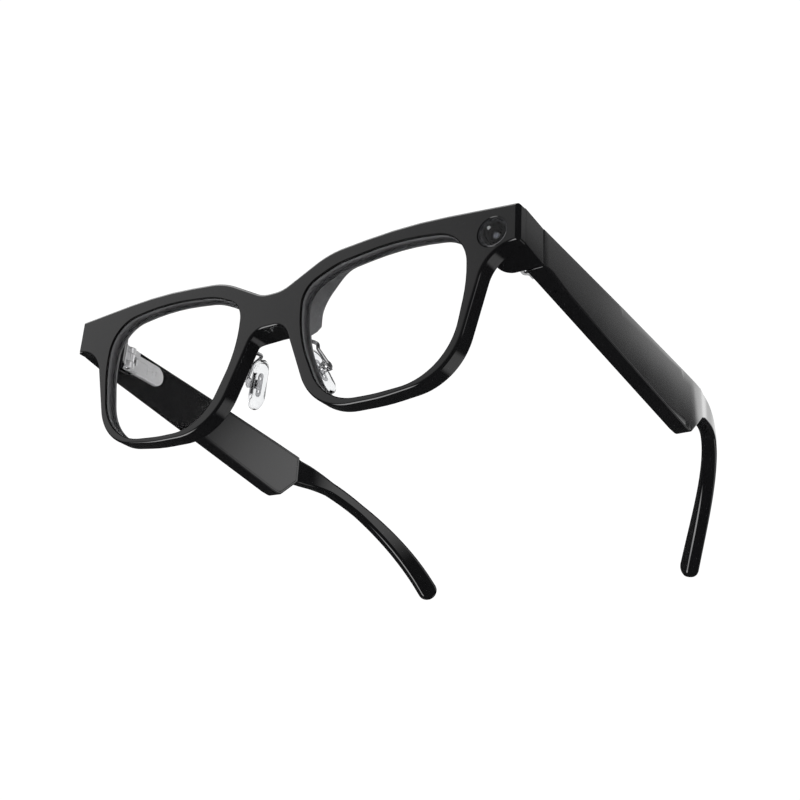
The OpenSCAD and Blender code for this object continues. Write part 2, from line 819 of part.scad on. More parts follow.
core_y0 = y1 - 6;
core_w = 0.6;
core_h = 1;
core_stop = 3;         // core ends this far inside the tip
module core_space(side, d) {
    in_temple(side) intersection() {
        slab_x(-far, far) polygon(tip_side(core_y0 - d, core_h + d, core_h + d));
        hook_band(core_y0 - d, tip_root_w - core_w - d, core_w + d, core_w + d, core_w + d);
        box([-far, 0, core_stop - d], [far, 3 * far, far]);
    }
}
module tip_core(side) {
    color(silver) core_space(side, 0);
}
module tip_core_left() { tip_core(1); }
module tip_core_right() { tip_core(-1); }

module ear_tip(side) {
    color(black) difference() {
        in_temple(side) intersection() {
            slab_x(-far, far) polygon(tip_side(y1 + gap, 0, tip_end_r));
            hook_band(y1 + gap, 0, tip_root_w, tip_mid_w, tip_end_w);
        }
        core_space(side, gap);
    }
}
module ear_tip_left() { ear_tip(1); }
module ear_tip_right() { ear_tip(-1); }

// ---- assembly ----
// the origin is under the middle of the whole object
module centred() {
    translate([0, -mid_y, 0]) rotate([lean, 0, 0]) children();
}
centred() front_shell();
centred() rear_shell();
centred() lens_left();
centred() lens_right();
centred() waveguide_left();
centred() waveguide_right();
centred() light_engine();
centred() front_flex();
centred() camera_ring();
centred() camera_window();
centred() camera_barrel();
centred() camera_board();
centred() recording_led();
centred() nose_arm_left();
centred() nose_arm_right();
centred() pad_box_left();
centred() pad_box_right();
centred() pad_screw_left();
centred() pad_screw_right();
centred() pad_core_left();
centred() pad_core_right();
centred() nose_pad_left();
centred() nose_pad_right();
centred() hinge_front_left();
centred() hinge_front_right();
centred() hinge_pin_left();
centred() hinge_pin_right();
centred() temple_shell_left();
centred() temple_shell_right();
centred() inner_cover_left();
centred() inner_cover_right();
centred() hinge_leaf_left();
centred() hinge_leaf_right();
centred() ear_tip_left();
centred() ear_tip_right();
centred() tip_core_left();
centred() tip_core_right();
centred() battery_left();
centred() battery_right();
centred() speaker_left();
centred() speaker_right();
centred() speaker_grille_left();
centred() speaker_grille_right();
centred() microphone_left();
centred() microphone_right();
centred() sensor_board();
centred() main_board();
centred() touch_strip();
centred() capture_button();
centred() button_switch();
centred() charging_contacts();
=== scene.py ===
import json
import math

import bmesh
import bpy
from mathutils import Matrix, Vector
from mathutils.geometry import delaunay_2d_cdt


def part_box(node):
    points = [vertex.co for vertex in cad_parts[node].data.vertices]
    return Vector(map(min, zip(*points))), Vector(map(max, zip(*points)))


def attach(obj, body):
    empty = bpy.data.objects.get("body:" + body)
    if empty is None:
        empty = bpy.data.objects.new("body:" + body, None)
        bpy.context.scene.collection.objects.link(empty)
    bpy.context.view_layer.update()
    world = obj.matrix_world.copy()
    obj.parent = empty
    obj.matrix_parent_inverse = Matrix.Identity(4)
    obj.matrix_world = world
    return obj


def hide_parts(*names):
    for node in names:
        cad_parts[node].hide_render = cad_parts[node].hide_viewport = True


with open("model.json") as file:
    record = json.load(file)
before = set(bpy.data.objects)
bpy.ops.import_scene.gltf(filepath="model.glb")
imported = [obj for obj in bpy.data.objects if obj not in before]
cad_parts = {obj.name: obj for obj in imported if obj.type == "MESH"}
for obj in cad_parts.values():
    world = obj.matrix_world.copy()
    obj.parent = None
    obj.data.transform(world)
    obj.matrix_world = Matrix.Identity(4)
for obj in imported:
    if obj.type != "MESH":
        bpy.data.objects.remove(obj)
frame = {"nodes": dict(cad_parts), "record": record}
scene = bpy.context.scene
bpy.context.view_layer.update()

# ---------------------------------------------------------------- places
# Lengths are millimetres up to at(), which gives metres in the row frame.
# X = 0 is the middle, y = 0 is the front face and z = 0 is the bottom of the rims, before the object leans.
LEAN_ANGLE = math.radians(1.2)
LEAN = Matrix.Rotation(LEAN_ANGLE, 3, "X")
AHEAD, UP = LEAN @ Vector((0, 1, 0)), LEAN @ Vector((0, 0, 1))
BACK_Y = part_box("camera_board")[1].y * 1000 - (LEAN @ Vector((0, 6.05, 35.7))).y
HALF_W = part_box("front_shell")[1].x * 1000
SHELL_T = 3.4
RIM = 5.2
BRIDGE = 10.2
LENS_LIP = 1.0
LENS_T = 2.0
GAP, FACE_GAP = 0.05, 0.02
EDGE_R, EDGE_STEPS = 0.5, 5
SHARP = 35
# in metres: vertices to merge, those of a joined shell, and slivers to drop
MERGE, MERGE_PARTS, SLIVER = 2e-7, 1e-6, 1e-7
SEAM_Y = 12.2
TEMPLE_T = 5.1
SPLAY = math.radians(3.1)
SIDE_SLOPE = math.tan(SPLAY)
SIDES = ((1, "left"), (-1, "right"))


def at(x, y, z):
    return (LEAN @ Vector((x, y, z)) + Vector((0, BACK_Y, 0))) / 1000


def flat(side=1):
    """u, v, w are x, z, y."""
    return lambda u, v, w: at(side * u, w, v)


def temple(side):
    """u, v, w are y, z and the depth from the temple's outer face."""
    def place(u, v, w):
        x = HALF_W - GAP + w * math.cos(SPLAY) + u * math.sin(SPLAY)
        return at(side * x, u * math.cos(SPLAY) - w * math.sin(SPLAY), v)
    return place


# ---------------------------------------------------------------- outlines
# An outline is a list of (x, y, corner radius), anticlockwise.
def neighbours(shape, i):
    return [Vector(c[:2]) for c in (shape[i - 1], shape[i], shape[(i + 1) % len(shape)])]


def turn_at(shape, i):
    a, b, c = neighbours(shape, i)
    u, v = (b - a).normalized(), (c - b).normalized()
    return math.atan2(u.x * v.y - u.y * v.x, u.dot(v))


def steps_of(shape, step=4.0):
    return [0 if c[2] <= 0 else max(3, math.ceil(abs(math.degrees(turn_at(shape, i))) / step))
            for i, c in enumerate(shape)]


def grown(shape, d):
    """The outline moved outward by d, or by one distance for each edge, which starts at that corner."""
    n = len(shape)
    d = [d] * n if isinstance(d, (int, float)) else d
    out = []
    for i, (x, y, r) in enumerate(shape):
        a, b, c = neighbours(shape, i)
        u, v = (b - a).normalized(), (c - b).normalized()
        n1, n2, d1, d2 = Vector((u.y, -u.x)), Vector((v.y, -v.x)), d[i - 1], d[i]
        det = n1.x * n2.y - n1.y * n2.x
        if abs(det) < 1e-6:
            m = n1 * d1
        else:
            m = Vector(((d1 * n2.y - d2 * n1.y) / det, (d2 * n1.x - d1 * n2.x) / det))
        mean = (d1 + d2) / 2
        out.append((x + m.x, y + m.y, 0 if r <= 0 else max(0.02, r + math.copysign(mean, det * mean))))
    return out


def points(shape, steps):
    out = []
    for i, (x, y, r) in enumerate(shape):
        a, b, c = neighbours(shape, i)
        u, v = (a - b).normalized(), (c - b).normalized()
        if not steps[i]:
            out.append(b)
            continue
        half = math.acos(max(-1, min(1, u.dot(v)))) / 2
        mid = b + (u + v).normalized() * r / math.sin(half)
        p = b + u * r / math.tan(half) - mid
        sweep = math.copysign(math.pi - 2 * half, turn_at(shape, i))
        for k in range(steps[i] + 1):
            t = math.atan2(p.y, p.x) + sweep * k / steps[i]
            out.append(mid + r * Vector((math.cos(t), math.sin(t))))
    return out


def mirrored(shape):
    return [(-x, y, r) for x, y, r in reversed(shape)]


def circle(x, y, r):
    return [(x - r, y - r, r), (x + r, y - r, r), (x + r, y + r, r), (x - r, y + r, r)]


def rings(shape, profile, step=4.0):
    """One ring for each (growth, w) of the profile. w may be a function of the point."""
    steps = steps_of(shape, step)
    out = []
    for d, w in profile:
        out.append([(p.x, p.y, w(p.x, p.y) if callable(w) else w) for p in points(grown(shape, d), steps)])
    return out


def fillet(r, w, inward=1, lead=1, n=5):
    """Profile of a rounded edge that ends on the cap at w, which may be a function of the point.
    inward is 1 for an outline and -1 for a hole, and lead is 1 if the cap is at the high end of w."""
    out = []
    for k in range(n + 1):
        t = math.pi / 2 * k / n
        d, h = r * (1 - math.cos(t)), r * (1 - math.sin(t))
        if callable(w):
            out.append((-inward * d, lambda x, y, h=h: w(x, y) - lead * h))
        else:
            out.append((-inward * d, w - lead * h))
    return out if lead > 0 else out[::-1]


def inside(p, loop):
    hit = False
    for i in range(len(loop)):
        a, b = loop[i - 1], loop[i]
        if (a[1] > p[1]) != (b[1] > p[1]) and p[0] < (b[0] - a[0]) * (p[1] - a[1]) / (b[1] - a[1]) + a[0]:
            hit = not hit
    return hit


def solid(name, loops, place, fill=None, open_ends=()):
    """A closed mesh between rings. loops is a list of ring lists, the first one outside, the others holes.
    fill gives (step, function) to put inner points on the last cap, so that it can be curved."""
    verts, faces, ends = [], [], [[], []]
    for ring_list in loops:
        starts = []
        for ring in ring_list:
            starts.append(len(verts))
            verts += [Vector(p) for p in ring]
        n = len(ring_list[0])
        for a, b in zip(starts, starts[1:]):
            faces += [(a + k, a + (k + 1) % n, b + (k + 1) % n, b + k) for k in range(n)]
        ends[0].append(range(starts[0], starts[0] + n))
        ends[1].append(range(starts[-1], starts[-1] + n))
    for which, end in enumerate(ends):
        if which in open_ends:
            continue
        flat_points, edges, index, outlines = [], [], [], []
        for loop in end:
            base = len(flat_points)
            flat_points += [verts[i].xy for i in loop]
            index += list(loop)
            outlines.append([tuple(verts[i].xy) for i in loop])
            edges += [(base + k, base + (k + 1) % len(loop)) for k in range(len(loop))]
        if fill and which == 1:
            step, height = fill
            xs, ys = [p[0] for p in outlines[0]], [p[1] for p in outlines[0]]
            for i in range(1, int((max(xs) - min(xs)) / step) + 1):
                for j in range(1, int((max(ys) - min(ys)) / step) + 1):
                    p = (min(xs) + i * step, min(ys) + j * step)
                    near = min((p[0] - q.x) ** 2 + (p[1] - q.y) ** 2 for q in flat_points[:len(edges)])
                    if near > (0.6 * step) ** 2 and inside(p, outlines[0]) and not any(
                            inside(p, o) for o in outlines[1:]):
                        index.append(len(verts))
                        verts.append(Vector((p[0], p[1], height(*p))))
                        flat_points.append(Vector(p))
        result = delaunay_2d_cdt(flat_points, edges, [], 0, 1e-6)
        back = [o[0] if o else None for o in result[3]]
        for tri in result[2]:
            mid = sum((result[0][k] for k in tri), Vector((0, 0))) / 3
            if inside(mid, outlines[0]) and not any(inside(mid, o) for o in outlines[1:]):
                faces.append([index[back[k]] for k in tri])
    return mesh_object(name, [place(*v) for v in verts], faces)


def edited(mesh, change):
    """Changes a mesh by way of a bmesh, and puts its normals right."""
    bm = bmesh.new()
    bm.from_mesh(mesh)
    change(bm)
    bmesh.ops.recalc_face_normals(bm, faces=bm.faces)
    bm.to_mesh(mesh)
    bm.free()


def mesh_object(name, verts, faces, smooth=SHARP):
    mesh = bpy.data.meshes.new(name)
    mesh.from_pydata(verts, [], faces)

    def clean(bm):
        bmesh.ops.remove_doubles(bm, verts=bm.verts, dist=MERGE)
        bmesh.ops.dissolve_degenerate(bm, edges=bm.edges, dist=SLIVER)

    edited(mesh, clean)
    o = bpy.data.objects.new(name, mesh)
    scene.collection.objects.link(o)
    shade(o, smooth)
    return o


def shade(o, angle=SHARP):
    o.data.shade_smooth()
    o.data.set_sharp_from_angle(angle=math.radians(angle))


def weighted(o):
    m = o.modifiers.new("even_normals", "WEIGHTED_NORMAL")
    m.keep_sharp = True
    m.weight = 100
    return o


def discard(o):
    mesh = o.data
    bpy.data.objects.remove(o)
    bpy.data.meshes.remove(mesh)


def joined(name, parts):
    """One object from several, kept under the given name."""
    bm = bmesh.new()
    for p in parts:
        bm.from_mesh(p.data)
        discard(p)
    mesh = bpy.data.meshes.new(name)
    bm.to_mesh(mesh)
    bm.free()
    o = bpy.data.objects.new(name, mesh)
    scene.collection.objects.link(o)
    return o


def slice_off(o, point, normal):
    """Cuts away what lies on the normal's side of a plane, and closes the cut."""
    def cut_away(bm):
        cut = bmesh.ops.bisect_plane(bm, geom=bm.verts[:] + bm.edges[:] + bm.faces[:], plane_co=point,
                                     plane_no=normal, clear_outer=True, dist=SLIVER)
        edges = [e for e in cut["geom_cut"] if isinstance(e, bmesh.types.BMEdge) and e.is_boundary]
        bmesh.ops.holes_fill(bm, edges=edges)

    edited(o.data, cut_away)
    shade(o)


def subtract(o, cutter):
    """Cuts the cutter's solid out of o and removes the cutter."""
    m = o.modifiers.new("cut", "BOOLEAN")
    m.operation = "DIFFERENCE"
    m.solver = "EXACT"
    m.object = cutter
    bpy.context.view_layer.update()
    done = bpy.data.meshes.new_from_object(o.evaluated_get(bpy.context.evaluated_depsgraph_get()))
    o.modifiers.clear()
    old = o.data
    o.data = done
    done.name = o.name
    bpy.data.meshes.remove(old)
    discard(cutter)
    shade(o)


def bands(count, sides):
    """The side faces between rings of that many points each, and the two end faces."""
    faces = []
    for s in range(0, (count - 1) * sides, sides):
        e = s + sides
        faces += [(s + k, s + (k + 1) % sides, e + (k + 1) % sides, e + k) for k in range(sides)]
    return faces + [tuple(range(sides)), tuple(range((count - 1) * sides, count * sides))]


def tube(name, path, radius, sides=20):
    """A round wire through the path's points, in metres."""
    verts, normal = [], None
    for i, p in enumerate(path):
        d = (path[min(i + 1, len(path) - 1)] - path[max(i - 1, 0)]).normalized()
        if normal is None:
            normal = d.orthogonal().normalized()
        normal = (normal - d * normal.dot(d)).normalized()
        other = d.cross(normal)
        for k in range(sides):
            t = 2 * math.pi * k / sides
            verts.append(p + radius * (math.cos(t) * normal + math.sin(t) * other))
    return mesh_object(name, verts, bands(len(path), sides), 50)


def turned(name, profile, origin, axis, sides=64):
    """A solid of revolution. profile is (radius, height) along the axis from the origin, in millimetres."""
    axis = Vector(axis).normalized()
    a = axis.orthogonal().normalized()
    b = axis.cross(a)
    verts = []
    for r, h in profile:
        for k in range(sides):
            t = 2 * math.pi * k / sides
            verts.append(origin + (axis * h + (a * math.cos(t) + b * math.sin(t)) * max(r, 1e-3)) / 1000)
    return mesh_object(name, verts, bands(len(profile), sides), 30)


def block(low, high, r, place, steps=3):
    """A box with all its edges rounded by r, from low to high in the place's own axes."""
    shape = [(low[0], low[1], r), (high[0], low[1], r), (high[0], high[1], r), (low[0], high[1], r)]
    profile = fillet(r, low[2], 1, -1, steps) + fillet(r, high[2], 1, 1, steps)
    return solid("block", [rings(shape, profile, 22.5)], place)


def smoothstep(a, b, x):
    t = max(0.0, min(1.0, (x - a) / (b - a)))
    return t * t * (3 - 2 * t)


# ---------------------------------------------------------------- materials
def material(name, **inputs):
    m = bpy.data.materials.new(name)
    m.use_nodes = True
    m.node_tree.nodes.clear()
    tree = m.node_tree
    out = tree.nodes.new("ShaderNodeOutputMaterial")
    shader = tree.nodes.new("ShaderNodeBsdfPrincipled")
    tree.links.new(shader.outputs[0], out.inputs[0])
    for key, value in inputs.items():
        shader.inputs[key.replace("_", " ")].default_value = value
    return m, tree, shader


def noise(tree, scale, detail=2.0, kind="ShaderNodeTexNoise", stretch=(1, 1, 1)):
    where = tree.nodes.new("ShaderNodeTexCoord")
    mapping = tree.nodes.new("ShaderNodeMapping")
    mapping.inputs["Scale"].default_value = stretch
    node = tree.nodes.new(kind)
    node.inputs["Scale"].default_value = scale
    if "Detail" in node.inputs:
        node.inputs["Detail"].default_value = detail
    tree.links.new(where.outputs["Object"], mapping.inputs["Vector"])
    tree.links.new(mapping.outputs[0], node.inputs["Vector"])
    return node


def colours(tree, shader, source, low, high):
    ramp = tree.nodes.new("ShaderNodeValToRGB")
    ramp.color_ramp.elements[0].position = 0.3
    ramp.color_ramp.elements[1].position = 0.7
    ramp.color_ramp.elements[0].color = (*low, 1)
    ramp.color_ramp.elements[1].color = (*high, 1)
    tree.links.new(source, ramp.inputs[0])
    tree.links.new(ramp.outputs[0], shader.inputs["Base Color"])


def between(tree, shader, source, low, high):
    node = tree.nodes.new("ShaderNodeMapRange")
    node.inputs["To Min"].default_value = low
    node.inputs["To Max"].default_value = high
    tree.links.new(source, node.inputs["Value"])
    tree.links.new(node.outputs[0], shader.inputs["Roughness"])


def relief(tree, shader, source, strength, distance):
    bump = tree.nodes.new("ShaderNodeBump")
    bump.inputs["Strength"].default_value = strength
    bump.inputs["Distance"].default_value = distance
    tree.links.new(source, bump.inputs["Height"])
    tree.links.new(bump.outputs[0], shader.inputs["Normal"])


def textured(name, low, high, rough, scale=400, strength=0.1, distance=2e-6, kind="ShaderNodeTexNoise",
             stretch=(1, 1, 1), **inputs):
    m, tree, shader = material(name, **inputs)
    grain = noise(tree, scale, 3, kind, stretch)
    value = grain.outputs["Fac"] if "Fac" in grain.outputs else grain.outputs[0]
    colours(tree, shader, value, low, high)
    between(tree, shader, value, rough[0], rough[1])
    if strength:
        relief(tree, shader, value, strength, distance)
    return m


gloss = textured("gloss_black", (0.0045, 0.0045, 0.005), (0.006, 0.006, 0.0065), (0.05, 0.09), scale=90,
                 strength=0.03, distance=1e-5, IOR=1.46)
satin = textured("satin_black", (0.006, 0.006, 0.0065), (0.010, 0.010, 0.011), (0.28, 0.36), scale=900,
                 strength=0.15, distance=3e-6, IOR=1.46)
# Matte black with almost no reflection: the camera barrel's own black, and on the front band of the
# lens-opening walls a painted dark edge line, painted shade.
matte_black_and_painted_shade = textured("matte_black_and_painted_shade", (0.002, 0.002, 0.002), (0.004, 0.004, 0.004), (0.6, 0.8), scale=900,
                     strength=0.1, Specular_IOR_Level=0.1)
module = textured("module_dark", (0.012, 0.012, 0.013), (0.022, 0.022, 0.024), (0.4, 0.55), scale=1500,
                  strength=0.3, distance=4e-6)
ring_metal = textured("ring_dark", (0.010, 0.010, 0.012), (0.018, 0.018, 0.02), (0.12, 0.2), scale=2500,
                      strength=0.1, distance=2e-6, Metallic=0.4)
steel = textured("polished_steel", (0.60, 0.60, 0.61), (0.74, 0.74, 0.75), (0.12, 0.22), scale=700,
                 strength=0.08, distance=3e-6, stretch=(1, 1, 5), Metallic=0.35)
wire_metal = textured("wire_steel", (0.42, 0.42, 0.43), (0.56, 0.56, 0.57), (0.14, 0.24), scale=1500,
                      strength=0.1, distance=2e-6, Metallic=0.95)
gold = textured("contact_gold", (0.83, 0.58, 0.20), (0.95, 0.70, 0.30), (0.12, 0.2), scale=2000,
                strength=0.1, distance=2e-6, Metallic=1.0)
board = textured("solder_mask", (0.01, 0.10, 0.04), (0.02, 0.17, 0.07), (0.25, 0.4), scale=1200,
                 strength=0.3, distance=8e-6, kind="ShaderNodeTexVoronoi")
amber = textured("polyimide", (0.42, 0.17, 0.03), (0.58, 0.27, 0.05), (0.25, 0.35), scale=500,
                 strength=0.1, distance=4e-6)
foil = textured("pouch_foil", (0.45, 0.46, 0.48), (0.58, 0.59, 0.61), (0.28, 0.4), scale=600,
                strength=0.4, distance=2e-5, Metallic=0.9)
led = textured("led_frost", (0.80, 0.80, 0.76), (0.90, 0.90, 0.86), (0.4, 0.5), scale=3000, strength=0.2)


def clear(name, colour, rough, ior, scale, strength):
    m, tree, shader = material(name, Transmission_Weight=1.0, IOR=ior)
    grain = noise(tree, scale, 2)
    colours(tree, shader, grain.outputs["Fac"], [c * 0.995 for c in colour], colour)
    between(tree, shader, grain.outputs["Fac"], rough[0], rough[1])
    if strength:
        relief(tree, shader, grain.outputs["Fac"], strength, 1e-5)
    return m


lens_glass = clear("lens_clear", (1.0, 1.0, 1.0), (0.0, 0.004), 1.05, 40, 0)
# Grey of the lenses' ground edges; on the walls of the frame openings the same grey is a painted reflection.
ground_edge_and_painted_reflection = textured("lens_edge_and_painted_reflection", (0.085, 0.086, 0.09), (0.12, 0.121, 0.125), (0.5, 0.7), scale=2000,
                       strength=0.2)
guide_glass = clear("guide_clear", (1.0, 1.0, 1.0), (0.0, 0.004), 1.05, 40, 0)
silicone = clear("silicone_clear", (0.90, 0.91, 0.92), (0.02, 0.06), 1.42, 500, 0.05)
window_glass = clear("window_clear", (0.72, 0.73, 0.75), (0.0, 0.002), 1.22, 60, 0)
lens_dome = clear("dome_clear", (0.45, 0.48, 0.60), (0.0, 0.01), 1.95, 60, 0)

BY_SLOT = {"frame_gloss": gloss, "lens_clear": lens_glass, "module_dark": module, "ring_metal": ring_metal,
           "flex_amber": amber, "board_green": board, "led_white": led, "hinge_metal": steel,
           "wire_metal": wire_metal, "silicone_clear": silicone, "battery_foil": foil, "contact_gold": gold}
slots = {s["node"]: s["material_slot"] for s in frame["record"]["subparts"]}


def paint(o, m):
    o.data.materials.clear()
    o.data.materials.append(m)


for name, node in frame["nodes"].items():
    paint(node, BY_SLOT[slots[name]])
for _, side_name in SIDES:
    paint(frame["nodes"]["waveguide_" + side_name], guide_glass)


def add(o, body, *nodes, look=None):
    """A finished piece: its body, the CAD nodes it stands for and its material."""
    if look:
        paint(o, look)
    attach(o, body)
    if nodes:
        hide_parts(*nodes)
    return o


# ---------------------------------------------------------------- front
END_TOP, END_LOW = 45.3, 34.95
SEAM_TOP, SEAM_LOW = 44.2, 33.35
HALF = [(5.25, 27.85, 5.4), (16.95, 0, 17.9), (38, 0, 60), (57.8, 2.6, 17.2), (66.95, END_LOW, 10.1),
        (HALF_W, END_LOW, 0.6), (HALF_W, END_TOP, 0.8), (42.85, 48.1, 142), (18.4, 45.9, 24.7),
        (3.4, 38.2, 10)]
OUTLINE = HALF + mirrored(HALF)
OPENING = [(56.7, 3.25, 17.7), (61.4, 27.05, 41), (60.65, 41.05, 10.5), (40.95, 44.25, 74),
           (21.05, 41.75, 25.2), (10.8, 37.15, 7.5), (10.5, 23.6, 36.9), (20.55, 1.95, 15.9),
           (36.05, 1.7, 60)]
OPENINGS = (OPENING, mirrored(OPENING))
CAM_X, CAM_Z = 68.2, 38.8
RING_R, WINDOW_R = 4.15, 3.6
CHAMFER = 1.1


def front_place(u, v, w):
    """The sides of the front lean out like the temples, so both lie in one plane."""
    return at(u * (1 + (w - SHELL_T) * SIDE_SLOPE / HALF_W), w, v)


lip = SHELL_T - LENS_T
guide_end = SHELL_T + 0.95
outer = rings(OUTLINE, fillet(0.75, 0, 1, -1, 7) + [(0, SHELL_T)])
LIP_EDGE = 0.7
hole_profile = fillet(0.3, 0, -1, -1) + [(0, LIP_EDGE), (0, lip), (LENS_LIP + GAP, lip),
                                         (LENS_LIP + GAP, SHELL_T)]
camera_profile = [(0.12, 0), (0.03, 0.1), (0.03, 1.15), (-0.9, 1.15), (-0.9, SHELL_T)]
front = solid("front_shell_shaped",
              [outer] + [rings(o, hole_profile) for o in OPENINGS]
              + [rings(circle(CAM_X, CAM_Z, RING_R), camera_profile, 6)], front_place)
for s in (1, -1):
    slice_off(front, at(s * (HALF_W - 0.16 - CHAMFER), 0, 0), LEAN @ Vector((s, -1, 0)))
add(weighted(front), "front", "front_shell", look=gloss)


def line_openings(o, looks):
    """Give the walls of the openings their own looks, (depth from the front, material) in order: a
    non-reflecting black band that paints a dark edge line (painted shade), and a grey that paints the wall's
    reflection (painted reflection).
    """
    groove = [points(grown(shape, LENS_LIP + 0.2), steps_of(shape)) for shape in OPENINGS]
    walls = [points(grown(shape, 0.35), steps_of(shape)) for shape in OPENINGS]
    for _, look in looks:
        o.data.materials.append(look)
    for face in o.data.polygons:
        p = LEAN.transposed() @ (face.center * 1000 - Vector((0, BACK_Y, 0)))
        if any(inside((p.x, p.z), wall) for wall in (groove if LIP_EDGE < p.y < guide_end + GAP else walls)):
            face.material_index = 1 + [p.y < depth for depth, _ in looks].index(True)


# The front band of each opening wall is made a non-reflecting black, a painted dark edge line (painted
# shade); the wall behind it is painted grey, a painted reflection.
line_openings(front, [(LIP_EDGE, matte_black_and_painted_shade), (SHELL_T + 1, ground_edge_and_painted_reflection)])

FOOT_X, FLAT_X = 25.0, 9.5


def rear_height(x, z):
    """The rear face: flat on the rims, and a smooth bulge behind the bridge."""
    across = 1 - smoothstep(FLAT_X, FOOT_X, abs(x))
    return RIM + (BRIDGE - RIM - GAP) * across * smoothstep(24.5, 29.5, z)


rear_outer = rings(OUTLINE, [(0, SHELL_T + FACE_GAP)] + fillet(0.5, rear_height, 1, 1))
rear_hole = [(LENS_LIP + GAP, SHELL_T + FACE_GAP), (LENS_LIP + GAP, guide_end), (0, guide_end)] + fillet(
    0.35, rear_height, -1, 1)
rear = solid("rear_plate", [rear_outer] + [rings(o, rear_hole) for o in OPENINGS], front_place,
             fill=(1.3, rear_height))

# end blocks, drawn in plan and given their sloping top and bottom
BLOCK = [(64.4, SHELL_T + FACE_GAP, 0), (HALF_W + 0.03, SHELL_T + FACE_GAP, 0),
         (HALF_W + 0.03 + (SEAM_Y - SHELL_T) * SIDE_SLOPE, SEAM_Y, 0.25), (65.0, SEAM_Y, 3.6)]
BLOCK_H = 10.2


def block_place(side):
    def place(u, v, w):
        t = (v - SHELL_T) / (SEAM_Y - SHELL_T)
        low = END_LOW - FACE_GAP + (SEAM_LOW - END_LOW) * t
        high = END_TOP + FACE_GAP + (HALF_W - u) * 0.0858 * (1 - t) + (SEAM_TOP - END_TOP) * t
        return at(side * u, v, low + (high - low) * w)
    return place


def block_rings():
    """Rounded top and bottom edges, except on the front edge, which stays against the front shell."""
    out, steps = [], steps_of(BLOCK, 6)
    for low_end in (True, False):
        for k in range(EDGE_STEPS + 1):
            t = math.pi / 2 * (EDGE_STEPS - k if low_end else k) / EDGE_STEPS
            d = EDGE_R * (1 - math.cos(t))
            w = EDGE_R * (1 - math.sin(t)) / BLOCK_H
            ring = points(grown(BLOCK, [0, -d, -0.3 * d, -d]), steps)
            out.append([(p.x, p.y, w if low_end else 1 - w) for p in ring])
    return out


parts = [rear] + [solid("end_block", [block_rings()], block_place(s)) for s in (1, -1)]
rear = joined("rear_shell_shaped", parts)
shade(rear)
add(weighted(rear), "front", "rear_shell", look=gloss)
# The rear walls of the openings are painted grey, a painted reflection.
line_openings(rear, [(BRIDGE + 1, ground_edge_and_painted_reflection)])

# lenses and waveguides, with a fine bevel all round and a ground edge
for shape, (side, side_name) in zip(OPENINGS, SIDES):
    edge = grown(shape, LENS_LIP)
    for kind, low, high, bevel, look in (("lens", lip + 0.01, SHELL_T - 0.01, 0.15, lens_glass),
                                         ("waveguide", SHELL_T + 0.06, guide_end - 0.06, 0.1, guide_glass)):
        profile = fillet(bevel, low, 1, -1, 2) + fillet(bevel, high, 1, 1, 2)
        glass = solid(kind + "_ground_" + side_name, [rings(edge, profile)], flat())
        add(weighted(glass), "front", kind + "_" + side_name, look=look)
        glass.data.materials.append(ground_edge_and_painted_reflection)
        for face in glass.data.polygons:
            if abs(face.normal.dot(AHEAD)) < 0.9:
                face.material_index = 1

# ---------------------------------------------------------------- camera
cam_at = at(CAM_X, 0, CAM_Z)
ring = turned("camera_ring_turned", [
    (WINDOW_R - 0.35, 1.1), (WINDOW_R - 0.35, 0.8), (WINDOW_R + 0.02, 0.8), (WINDOW_R + 0.02, 0.22),
    (WINDOW_R + 0.12, 0.06), (WINDOW_R + 0.3, 0.01), (RING_R - 0.12, 0.01), (RING_R - 0.02, 0.12),
    (RING_R - 0.02, 1.1)], cam_at, AHEAD)


def open_middle(bm):
    """The end faces give way to an inner wall."""
    caps = [f for f in bm.faces if len(f.verts) > 4]
    bmesh.ops.delete(bm, geom=caps, context="FACES_ONLY")
    bmesh.ops.bridge_loops(bm, edges=[e for e in bm.edges if e.is_boundary])


edited(ring.data, open_middle)
shade(ring, 30)
add(ring, "front", "camera_ring", look=ring_metal)


def dome(name, r, y, rise, thick, look):
    """A lens that bulges forward by rise, with a small flat edge."""
    rows = 8
    profile = [(r * k / rows, y - rise * (1 - (k / rows) ** 2)) for k in range(rows + 1)]
    profile += [(r, y + thick), (0.0, y + thick)]
    o = turned(name, profile, cam_at, AHEAD)
    paint(o, look)
    return o


window = dome("camera_window_ground", WINDOW_R, 0.2, 0.12, 0.5, window_glass)
add(window, "front", "camera_window")
barrel = turned("camera_barrel_turned", [
    (0.2, 3.1), (0.7, 3.1), (0.75, 2.2), (1.15, 2.1), (1.2, 1.75), (1.45, 1.7), (1.5, 1.35), (1.75, 1.3),
    (1.8, 1.1), (2.05, 1.02), (2.2, 1.12), (2.2, 5.3), (0.2, 5.3)], cam_at, AHEAD)
add(barrel, "front", "camera_barrel", look=matte_black_and_painted_shade)
front_dome = dome("camera_lens_front", 1.18, 1.95, 0.45, 0.1, lens_dome)
add(front_dome, "front")

# ---------------------------------------------------------------- temples
Y0, Y1 = SEAM_Y + 0.12, SEAM_Y + 102.2
STEP_Y = Y1 - 10.6
TIP_Z, TIP_ROOT = 34.5, 5.15
STEP_Z = 21.45
TOP_MID, TOP_REAR = (Y0 + 46, 42.45), (Y1 - 15, 40.5)
HOUSING = [(Y0, SEAM_LOW, 0.3), (STEP_Y - 4.2, STEP_Z, 4), (STEP_Y + 0.6, STEP_Z - 0.2, 4),
           (Y1, TIP_Z - TIP_ROOT, 0), (Y1, TIP_Z + TIP_ROOT, 0), (*TOP_REAR, 70), (*TOP_MID, 150),
           (Y0, SEAM_TOP, 0.3)]
RECESS = [(x, y, max(0.3, r)) for x, y, r in grown(HOUSING, -1.01)]
CAVITY = grown(RECESS, -0.8)
